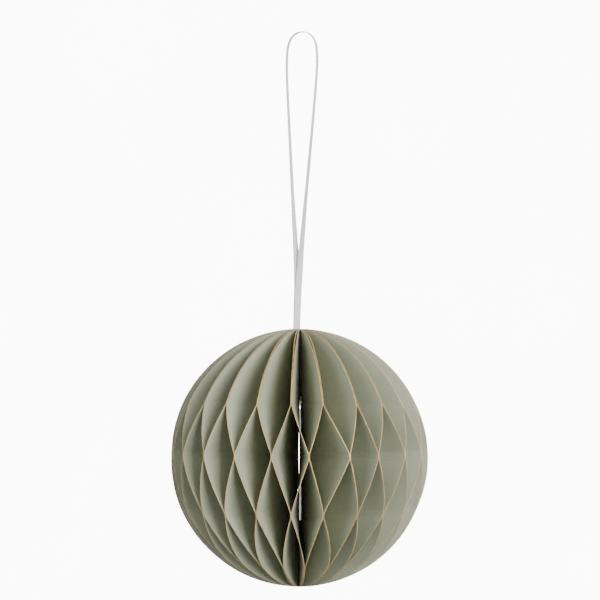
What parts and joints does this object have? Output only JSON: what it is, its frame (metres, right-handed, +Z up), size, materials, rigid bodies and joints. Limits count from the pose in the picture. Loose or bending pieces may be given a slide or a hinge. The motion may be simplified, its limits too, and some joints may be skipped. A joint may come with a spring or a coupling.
{
  "type": "paper honeycomb ball",
  "caption": "Folding honeycomb ball ornament of stiff card leaves with gold cut edges, hung on a satin ribbon loop.",
  "frame": {"origin": "top of the ribbon loop, where a hook takes it", "axes": "+Z up along the ball's axis, the ribbon loop lies in the XZ plane, -Y is the front"},
  "size_m": [0.0998, 0.0998, 0.2151],
  "materials": {
    "leaf_card": "matte uncoated card",
    "leaf_edge": "gold foiled cut edge",
    "binding_thread": "cotton thread",
    "ribbon": "white satin"
  },
  "bodies": {
    "ribbon": {"hanging_ribbon": "ribbon"},
    "knot": {"ribbon_neck": "ribbon", "ribbon_knot": "ribbon", "ribbon_tails": "ribbon"},
    "spine": {"leaf_23": "leaf_card", "upper_binding_thread": "binding_thread", "lower_binding_thread": "binding_thread"},
    "fan_24": {"leaf_24": "leaf_card"},
    "fan_25": {"leaf_25": "leaf_card"},
    "fan_26": {"leaf_26": "leaf_card"},
    "fan_27": {"leaf_27": "leaf_card"},
    "fan_28": {"leaf_28": "leaf_card"},
    "fan_29": {"leaf_29": "leaf_card"},
    "fan_30": {"leaf_30": "leaf_card"},
    "fan_31": {"leaf_31": "leaf_card"},
    "fan_32": {"leaf_32": "leaf_card"},
    "fan_33": {"leaf_33": "leaf_card"},
    "fan_34": {"leaf_34": "leaf_card"},
    "fan_35": {"leaf_35": "leaf_card"},
    "fan_36": {"leaf_36": "leaf_card"},
    "fan_37": {"leaf_37": "leaf_card"},
    "fan_38": {"leaf_38": "leaf_card"},
    "fan_39": {"leaf_39": "leaf_card"},
    "fan_40": {"leaf_40": "leaf_card"},
    "fan_41": {"leaf_41": "leaf_card"},
    "fan_42": {"leaf_42": "leaf_card"},
    "fan_43": {"leaf_43": "leaf_card"},
    "fan_44": {"leaf_44": "leaf_card"},
    "fan_22": {"leaf_22": "leaf_card"},
    "fan_21": {"leaf_21": "leaf_card"},
    "fan_20": {"leaf_20": "leaf_card"},
    "fan_19": {"leaf_19": "leaf_card"},
    "fan_18": {"leaf_18": "leaf_card"},
    "fan_17": {"leaf_17": "leaf_card"},
    "fan_16": {"leaf_16": "leaf_card"},
    "fan_15": {"leaf_15": "leaf_card"},
    "fan_14": {"leaf_14": "leaf_card"},
    "fan_13": {"leaf_13": "leaf_card"},
    "fan_12": {"leaf_12": "leaf_card"},
    "fan_11": {"leaf_11": "leaf_card"},
    "fan_10": {"leaf_10": "leaf_card"},
    "fan_09": {"leaf_09": "leaf_card"},
    "fan_08": {"leaf_08": "leaf_card"},
    "fan_07": {"leaf_07": "leaf_card"},
    "fan_06": {"leaf_06": "leaf_card"},
    "fan_05": {"leaf_05": "leaf_card"},
    "fan_04": {"leaf_04": "leaf_card"},
    "fan_03": {"leaf_03": "leaf_card"},
    "fan_02": {"leaf_02": "leaf_card"},
    "fan_01": {"leaf_01": "leaf_card"}
  },
  "joints": [
    {"name": "ball_swing", "type": "hinge", "parent": "ribbon", "child": "knot", "pos_m": [0, 0, -0.115], "axis": [0, -1, 0], "range_deg": [-75, 75]},
    {"name": "ball_turn", "type": "hinge", "parent": "knot", "child": "spine", "pos_m": [0, 0, -0.115], "axis": [0, 0, 1], "continuous": true},
    {"name": "fan_fold", "type": "hinge", "parent": "spine", "child": "fan_24", "pos_m": [0.00213, -0.00183, -0.165], "axis": [0, 0, -1], "range_deg": [0, 8.18], "deforming": ["leaf_01", "leaf_02", "leaf_03", "leaf_04", "leaf_05", "leaf_06", "leaf_07", "leaf_08", "leaf_09", "leaf_10", "leaf_11", "leaf_12", "leaf_13", "leaf_14", "leaf_15", "leaf_16", "leaf_17", "leaf_18", "leaf_19", "leaf_20", "leaf_21", "leaf_22", "leaf_23", "leaf_24", "leaf_25", "leaf_26", "leaf_27", "leaf_28", "leaf_29", "leaf_30", "leaf_31", "leaf_32", "leaf_33", "leaf_34", "leaf_35", "leaf_36", "leaf_37", "leaf_38", "leaf_39", "leaf_40", "leaf_41", "leaf_42", "leaf_43", "leaf_44"]},
    {"name": "fold_25", "type": "hinge", "parent": "fan_24", "child": "fan_25", "pos_m": [0.00236, -0.00151, -0.165], "axis": [0, 0, -1], "range_deg": [0, 8.18]},
    {"name": "fold_26", "type": "hinge", "parent": "fan_25", "child": "fan_26", "pos_m": [0.00255, -0.00116, -0.165], "axis": [0, 0, -1], "range_deg": [0, 8.18]},
    {"name": "fold_27", "type": "hinge", "parent": "fan_26", "child": "fan_27", "pos_m": [0.00269, -0.00078, -0.165], "axis": [0, 0, -1], "range_deg": [0, 8.18]},
    {"name": "fold_28", "type": "hinge", "parent": "fan_27", "child": "fan_28", "pos_m": [0.00278, -0.00039, -0.165], "axis": [0, 0, -1], "range_deg": [0, 8.18]},
    {"name": "fold_29", "type": "hinge", "parent": "fan_28", "child": "fan_29", "pos_m": [0.0028, 0.00001, -0.165], "axis": [0, 0, -1], "range_deg": [0, 8.18]},
    {"name": "fold_30", "type": "hinge", "parent": "fan_29", "child": "fan_30", "pos_m": [0.00277, 0.00041, -0.165], "axis": [0, 0, -1], "range_deg": [0, 8.18]},
    {"name": "fold_31", "type": "hinge", "parent": "fan_30", "child": "fan_31", "pos_m": [0.00269, 0.0008, -0.165], "axis": [0, 0, -1], "range_deg": [0, 8.18]},
    {"name": "fold_32", "type": "hinge", "parent": "fan_31", "child": "fan_32", "pos_m": [0.00255, 0.00117, -0.165], "axis": [0, 0, -1], "range_deg": [0, 8.18]},
    {"name": "fold_33", "type": "hinge", "parent": "fan_32", "child": "fan_33", "pos_m": [0.00235, 0.00152, -0.165], "axis": [0, 0, -1], "range_deg": [0, 8.18]},
    {"name": "fold_34", "type": "hinge", "parent": "fan_33", "child": "fan_34", "pos_m": [0.00211, 0.00184, -0.165], "axis": [0, 0, -1], "range_deg": [0, 8.18]},
    {"name": "fold_35", "type": "hinge", "parent": "fan_34", "child": "fan_35", "pos_m": [0.00183, 0.00213, -0.165], "axis": [0, 0, -1], "range_deg": [0, 8.18]},
    {"name": "fold_36", "type": "hinge", "parent": "fan_35", "child": "fan_36", "pos_m": [0.00151, 0.00236, -0.165], "axis": [0, 0, -1], "range_deg": [0, 8.18]},
    {"name": "fold_37", "type": "hinge", "parent": "fan_36", "child": "fan_37", "pos_m": [0.00116, 0.00255, -0.165], "axis": [0, 0, -1], "range_deg": [0, 8.18]},
    {"name": "fold_38", "type": "hinge", "parent": "fan_37", "child": "fan_38", "pos_m": [0.00078, 0.00269, -0.165], "axis": [0, 0, -1], "range_deg": [0, 8.18]},
    {"name": "fold_39", "type": "hinge", "parent": "fan_38", "child": "fan_39", "pos_m": [0.00039, 0.00278, -0.165], "axis": [0, 0, -1], "range_deg": [0, 8.18]},
    {"name": "fold_40", "type": "hinge", "parent": "fan_39", "child": "fan_40", "pos_m": [-0.00001, 0.0028, -0.165], "axis": [0, 0, -1], "range_deg": [0, 8.18]},
    {"name": "fold_41", "type": "hinge", "parent": "fan_40", "child": "fan_41", "pos_m": [-0.00041, 0.00277, -0.165], "axis": [0, 0, -1], "range_deg": [0, 8.18]},
    {"name": "fold_42", "type": "hinge", "parent": "fan_41", "child": "fan_42", "pos_m": [-0.0008, 0.00269, -0.165], "axis": [0, 0, -1], "range_deg": [0, 8.18]},
    {"name": "fold_43", "type": "hinge", "parent": "fan_42", "child": "fan_43", "pos_m": [-0.00117, 0.00255, -0.165], "axis": [0, 0, -1], "range_deg": [0, 8.18]},
    {"name": "fold_44", "type": "hinge", "parent": "fan_43", "child": "fan_44", "pos_m": [-0.00152, 0.00235, -0.165], "axis": [0, 0, -1], "range_deg": [0, 8.18]},
    {"name": "fold_22", "type": "hinge", "parent": "spine", "child": "fan_22", "pos_m": [0.00184, -0.00211, -0.165], "axis": [0, 0, 1], "range_deg": [0, 8.18]},
    {"name": "fold_21", "type": "hinge", "parent": "fan_22", "child": "fan_21", "pos_m": [0.00152, -0.00235, -0.165], "axis": [0, 0, 1], "range_deg": [0, 8.18]},
    {"name": "fold_20", "type": "hinge", "parent": "fan_21", "child": "fan_20", "pos_m": [0.00117, -0.00255, -0.165], "axis": [0, 0, 1], "range_deg": [0, 8.18]},
    {"name": "fold_19", "type": "hinge", "parent": "fan_20", "child": "fan_19", "pos_m": [0.0008, -0.00269, -0.165], "axis": [0, 0, 1], "range_deg": [0, 8.18]},
    {"name": "fold_18", "type": "hinge", "parent": "fan_19", "child": "fan_18", "pos_m": [0.00041, -0.00277, -0.165], "axis": [0, 0, 1], "range_deg": [0, 8.18]},
    {"name": "fold_17", "type": "hinge", "parent": "fan_18", "child": "fan_17", "pos_m": [0.00001, -0.0028, -0.165], "axis": [0, 0, 1], "range_deg": [0, 8.18]},
    {"name": "fold_16", "type": "hinge", "parent": "fan_17", "child": "fan_16", "pos_m": [-0.00039, -0.00278, -0.165], "axis": [0, 0, 1], "range_deg": [0, 8.18]},
    {"name": "fold_15", "type": "hinge", "parent": "fan_16", "child": "fan_15", "pos_m": [-0.00078, -0.00269, -0.165], "axis": [0, 0, 1], "range_deg": [0, 8.18]},
    {"name": "fold_14", "type": "hinge", "parent": "fan_15", "child": "fan_14", "pos_m": [-0.00116, -0.00255, -0.165], "axis": [0, 0, 1], "range_deg": [0, 8.18]},
    {"name": "fold_13", "type": "hinge", "parent": "fan_14", "child": "fan_13", "pos_m": [-0.00151, -0.00236, -0.165], "axis": [0, 0, 1], "range_deg": [0, 8.18]},
    {"name": "fold_12", "type": "hinge", "parent": "fan_13", "child": "fan_12", "pos_m": [-0.00183, -0.00213, -0.165], "axis": [0, 0, 1], "range_deg": [0, 8.18]},
    {"name": "fold_11", "type": "hinge", "parent": "fan_12", "child": "fan_11", "pos_m": [-0.00211, -0.00184, -0.165], "axis": [0, 0, 1], "range_deg": [0, 8.18]},
    {"name": "fold_10", "type": "hinge", "parent": "fan_11", "child": "fan_10", "pos_m": [-0.00235, -0.00152, -0.165], "axis": [0, 0, 1], "range_deg": [0, 8.18]},
    {"name": "fold_09", "type": "hinge", "parent": "fan_10", "child": "fan_09", "pos_m": [-0.00255, -0.00117, -0.165], "axis": [0, 0, 1], "range_deg": [0, 8.18]},
    {"name": "fold_08", "type": "hinge", "parent": "fan_09", "child": "fan_08", "pos_m": [-0.00269, -0.0008, -0.165], "axis": [0, 0, 1], "range_deg": [0, 8.18]},
    {"name": "fold_07", "type": "hinge", "parent": "fan_08", "child": "fan_07", "pos_m": [-0.00277, -0.00041, -0.165], "axis": [0, 0, 1], "range_deg": [0, 8.18]},
    {"name": "fold_06", "type": "hinge", "parent": "fan_07", "child": "fan_06", "pos_m": [-0.0028, -0.00001, -0.165], "axis": [0, 0, 1], "range_deg": [0, 8.18]},
    {"name": "fold_05", "type": "hinge", "parent": "fan_06", "child": "fan_05", "pos_m": [-0.00278, 0.00039, -0.165], "axis": [0, 0, 1], "range_deg": [0, 8.18]},
    {"name": "fold_04", "type": "hinge", "parent": "fan_05", "child": "fan_04", "pos_m": [-0.00269, 0.00078, -0.165], "axis": [0, 0, 1], "range_deg": [0, 8.18]},
    {"name": "fold_03", "type": "hinge", "parent": "fan_04", "child": "fan_03", "pos_m": [-0.00255, 0.00116, -0.165], "axis": [0, 0, 1], "range_deg": [0, 8.18]},
    {"name": "fold_02", "type": "hinge", "parent": "fan_03", "child": "fan_02", "pos_m": [-0.00236, 0.00151, -0.165], "axis": [0, 0, 1], "range_deg": [0, 8.18]},
    {"name": "fold_01", "type": "hinge", "parent": "fan_02", "child": "fan_01", "pos_m": [-0.00213, 0.00183, -0.165], "axis": [0, 0, 1], "range_deg": [0, 8.18]}
  ],
  "couplings": [
    {"joint": "fold_25", "follows": "fan_fold", "ratio": 1},
    {"joint": "fold_26", "follows": "fan_fold", "ratio": 1},
    {"joint": "fold_27", "follows": "fan_fold", "ratio": 1},
    {"joint": "fold_28", "follows": "fan_fold", "ratio": 1},
    {"joint": "fold_29", "follows": "fan_fold", "ratio": 1},
    {"joint": "fold_30", "follows": "fan_fold", "ratio": 1},
    {"joint": "fold_31", "follows": "fan_fold", "ratio": 1},
    {"joint": "fold_32", "follows": "fan_fold", "ratio": 1},
    {"joint": "fold_33", "follows": "fan_fold", "ratio": 1},
    {"joint": "fold_34", "follows": "fan_fold", "ratio": 1},
    {"joint": "fold_35", "follows": "fan_fold", "ratio": 1},
    {"joint": "fold_36", "follows": "fan_fold", "ratio": 1},
    {"joint": "fold_37", "follows": "fan_fold", "ratio": 1},
    {"joint": "fold_38", "follows": "fan_fold", "ratio": 1},
    {"joint": "fold_39", "follows": "fan_fold", "ratio": 1},
    {"joint": "fold_40", "follows": "fan_fold", "ratio": 1},
    {"joint": "fold_41", "follows": "fan_fold", "ratio": 1},
    {"joint": "fold_42", "follows": "fan_fold", "ratio": 1},
    {"joint": "fold_43", "follows": "fan_fold", "ratio": 1},
    {"joint": "fold_44", "follows": "fan_fold", "ratio": 1},
    {"joint": "fold_22", "follows": "fan_fold", "ratio": 1},
    {"joint": "fold_21", "follows": "fan_fold", "ratio": 1},
    {"joint": "fold_20", "follows": "fan_fold", "ratio": 1},
    {"joint": "fold_19", "follows": "fan_fold", "ratio": 1},
    {"joint": "fold_18", "follows": "fan_fold", "ratio": 1},
    {"joint": "fold_17", "follows": "fan_fold", "ratio": 1},
    {"joint": "fold_16", "follows": "fan_fold", "ratio": 1},
    {"joint": "fold_15", "follows": "fan_fold", "ratio": 1},
    {"joint": "fold_14", "follows": "fan_fold", "ratio": 1},
    {"joint": "fold_13", "follows": "fan_fold", "ratio": 1},
    {"joint": "fold_12", "follows": "fan_fold", "ratio": 1},
    {"joint": "fold_11", "follows": "fan_fold", "ratio": 1},
    {"joint": "fold_10", "follows": "fan_fold", "ratio": 1},
    {"joint": "fold_09", "follows": "fan_fold", "ratio": 1},
    {"joint": "fold_08", "follows": "fan_fold", "ratio": 1},
    {"joint": "fold_07", "follows": "fan_fold", "ratio": 1},
    {"joint": "fold_06", "follows": "fan_fold", "ratio": 1},
    {"joint": "fold_05", "follows": "fan_fold", "ratio": 1},
    {"joint": "fold_04", "follows": "fan_fold", "ratio": 1},
    {"joint": "fold_03", "follows": "fan_fold", "ratio": 1},
    {"joint": "fold_02", "follows": "fan_fold", "ratio": 1},
    {"joint": "fold_01", "follows": "fan_fold", "ratio": 1}
  ]
}
